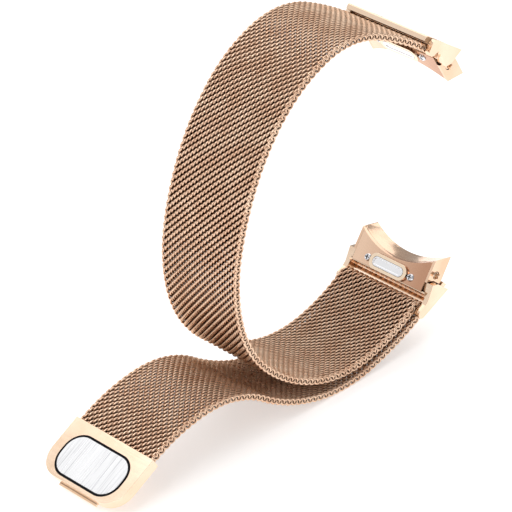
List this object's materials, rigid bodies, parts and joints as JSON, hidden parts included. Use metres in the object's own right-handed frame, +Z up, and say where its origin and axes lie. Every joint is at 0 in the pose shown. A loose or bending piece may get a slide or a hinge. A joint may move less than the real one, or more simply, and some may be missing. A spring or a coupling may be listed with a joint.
{
  "type": "magnetic mesh watch strap",
  "caption": "Rose-gold woven-mesh watch strap curled into a loop, with sprung quick-release curved end connectors and a magnetic clasp on its folded-back tail.",
  "frame": {"origin": "on the surface it stands on, under the middle of its outline", "axes": "+X from the clasp towards the watch side, +Y across the band, +Z up from the table"},
  "size_m": [0.0921, 0.0226, 0.0707],
  "materials": {
    "mesh": "rose-gold plated woven wire",
    "gold_frame": "polished champagne-gold plating",
    "gold_lug": "polished rose-gold plating",
    "gold_pin": "polished plating",
    "steel": "satin, fine scratches",
    "screw_steel": "bright",
    "spring_steel": "drawn wire",
    "magnet": "nickel-plated magnet",
    "gasket": "matt black"
  },
  "bodies": {
    "tail_2": {"tail_link_2": "mesh"},
    "tail_1": {"tail_link_1": "mesh"},
    "tail_3": {"tail_link_3": "mesh"},
    "tail_4": {"tail_link_4": "mesh"},
    "clasp": {"tail_link_5": "mesh", "clasp_shell": "gold_frame", "clasp_base": "gold_frame", "clasp_magnet": "magnet", "clasp_plate": "steel", "clasp_gasket": "gasket", "clasp_mesh_pin": "gold_pin"},
    "fold": {"strap_fold": "mesh"},
    "loop_01": {"loop_link_01": "mesh"},
    "loop_02": {"loop_link_02": "mesh"},
    "loop_03": {"loop_link_03": "mesh"},
    "loop_04": {"loop_link_04": "mesh"},
    "loop_05": {"loop_link_05": "mesh"},
    "loop_06": {"loop_link_06": "mesh"},
    "loop_07": {"loop_link_07": "mesh"},
    "loop_08": {"loop_link_08": "mesh"},
    "loop_09": {"loop_link_09": "mesh"},
    "loop_10": {"loop_link_10": "mesh"},
    "lower_connector": {"lower_frame": "gold_frame", "lower_lug_end": "gold_lug", "lower_cover_plate": "gold_lug", "lower_plate_screws": "screw_steel", "lower_spring_near": "spring_steel", "lower_spring_far": "spring_steel", "lower_strap_bar": "gold_pin"},
    "lower_button": {"lower_button": "steel"},
    "lower_pin_near": {"lower_pin_near": "gold_pin"},
    "lower_pin_far": {"lower_pin_far": "gold_pin"},
    "upper_connector": {"upper_frame": "gold_frame", "upper_lug_end": "gold_lug", "upper_cover_plate": "gold_lug", "upper_plate_screws": "screw_steel", "upper_spring_near": "spring_steel", "upper_spring_far": "spring_steel", "upper_strap_pin": "gold_pin"},
    "upper_button": {"upper_button": "steel"},
    "upper_pin_near": {"upper_pin_near": "gold_pin"},
    "upper_pin_far": {"upper_pin_far": "gold_pin"}
  },
  "joints": [
    {"name": "tail_bend_1", "type": "hinge", "parent": "tail_2", "child": "tail_1", "pos_m": [0.01776, 0, 0.00158], "axis": [0, 1, 0], "range_deg": [0, 5]},
    {"name": "fold_bend", "type": "hinge", "parent": "tail_1", "child": "fold", "pos_m": [0.03098, 0, 0.00666], "axis": [0, 1, 0], "range_deg": [0, 8]},
    {"name": "tail_bend_2", "type": "hinge", "parent": "tail_2", "child": "tail_3", "pos_m": [0.00371, 0, 0.00171], "axis": [0, 1, 0], "range_deg": [0, 12]},
    {"name": "tail_bend_3", "type": "hinge", "parent": "tail_3", "child": "tail_4", "pos_m": [-0.00891, 0, 0.008], "axis": [0, 1, 0], "range_deg": [0, 16]},
    {"name": "tail_bend_4", "type": "hinge", "parent": "tail_4", "child": "clasp", "pos_m": [-0.02219, 0, 0.01206], "axis": [0, 1, 0], "range_deg": [0, 24]},
    {"name": "lower_connector_swing", "type": "hinge", "parent": "fold", "child": "lower_connector", "pos_m": [0.03035, 0, 0.00785], "axis": [0, -1, 0], "range_deg": [-20, 30]},
    {"name": "loop_bend_00", "type": "hinge", "parent": "fold", "child": "loop_01", "pos_m": [0.02961, 0, 0.00898], "axis": [0, 1, 0], "range_deg": [0, 5]},
    {"name": "loop_bend_01", "type": "hinge", "parent": "loop_01", "child": "loop_02", "pos_m": [0.01717, 0, 0.00396], "axis": [0, 1, 0], "range_deg": [0, 5]},
    {"name": "loop_bend_02", "type": "hinge", "parent": "loop_02", "child": "loop_03", "pos_m": [0.00394, 0, 0.00535], "axis": [0, 1, 0], "range_deg": [-2, 4]},
    {"name": "loop_bend_03", "type": "hinge", "parent": "loop_03", "child": "loop_04", "pos_m": [-0.00696, 0, 0.01313], "axis": [0, 1, 0], "range_deg": [-16, 4]},
    {"name": "loop_bend_04", "type": "hinge", "parent": "loop_04", "child": "loop_05", "pos_m": [-0.01259, 0, 0.02518], "axis": [0, 1, 0], "range_deg": [-24, 4]},
    {"name": "loop_bend_05", "type": "hinge", "parent": "loop_05", "child": "loop_06", "pos_m": [-0.01177, 0, 0.03857], "axis": [0, 1, 0], "range_deg": [-18, 4]},
    {"name": "loop_bend_06", "type": "hinge", "parent": "loop_06", "child": "loop_07", "pos_m": [-0.00683, 0, 0.0511], "axis": [0, 1, 0], "range_deg": [-14, 4]},
    {"name": "loop_bend_07", "type": "hinge", "parent": "loop_07", "child": "loop_08", "pos_m": [0.00117, 0, 0.06191], "axis": [0, 1, 0], "range_deg": [-20, 4]},
    {"name": "loop_bend_08", "type": "hinge", "parent": "loop_08", "child": "loop_09", "pos_m": [0.01252, 0, 0.069], "axis": [0, 1, 0], "range_deg": [-28, 4]},
    {"name": "loop_bend_09", "type": "hinge", "parent": "loop_09", "child": "loop_10", "pos_m": [0.02565, 0, 0.0682], "axis": [0, 1, 0], "range_deg": [-24, 4]},
    {"name": "upper_connector_swing", "type": "hinge", "parent": "loop_10", "child": "upper_connector", "pos_m": [0.03701, 0, 0.06096], "axis": [0, 1, 0], "range_deg": [-3, 25]},
    {"name": "lower_button_press", "type": "slide", "parent": "lower_connector", "child": "lower_button", "axis": [0.788, 0, -0.6157], "range_m": [0, 0.0009], "stiffness_N_per_m": 300, "springref_m": -0.001},
    {"name": "lower_pin_near_retract", "type": "slide", "parent": "lower_connector", "child": "lower_pin_near", "axis": [0, 1, 0], "range_m": [0, 0.0009], "deforming": ["lower_spring_near"]},
    {"name": "lower_pin_far_retract", "type": "slide", "parent": "lower_connector", "child": "lower_pin_far", "axis": [0, -1, 0], "range_m": [0, 0.0009], "deforming": ["lower_spring_far"]},
    {"name": "upper_button_press", "type": "slide", "parent": "upper_connector", "child": "upper_button", "axis": [0.8988, 0, 0.4384], "range_m": [0, 0.0009], "stiffness_N_per_m": 300, "springref_m": -0.001},
    {"name": "upper_pin_near_retract", "type": "slide", "parent": "upper_connector", "child": "upper_pin_near", "axis": [0, 1, 0], "range_m": [0, 0.0009], "deforming": ["upper_spring_near"]},
    {"name": "upper_pin_far_retract", "type": "slide", "parent": "upper_connector", "child": "upper_pin_far", "axis": [0, -1, 0], "range_m": [0, 0.0009], "deforming": ["upper_spring_far"]}
  ],
  "couplings": [
    {"joint": "lower_pin_near_retract", "follows": "lower_button_press", "ratio": 1},
    {"joint": "lower_pin_far_retract", "follows": "lower_button_press", "ratio": 1},
    {"joint": "upper_pin_near_retract", "follows": "upper_button_press", "ratio": 1},
    {"joint": "upper_pin_far_retract", "follows": "upper_button_press", "ratio": 1}
  ]
}
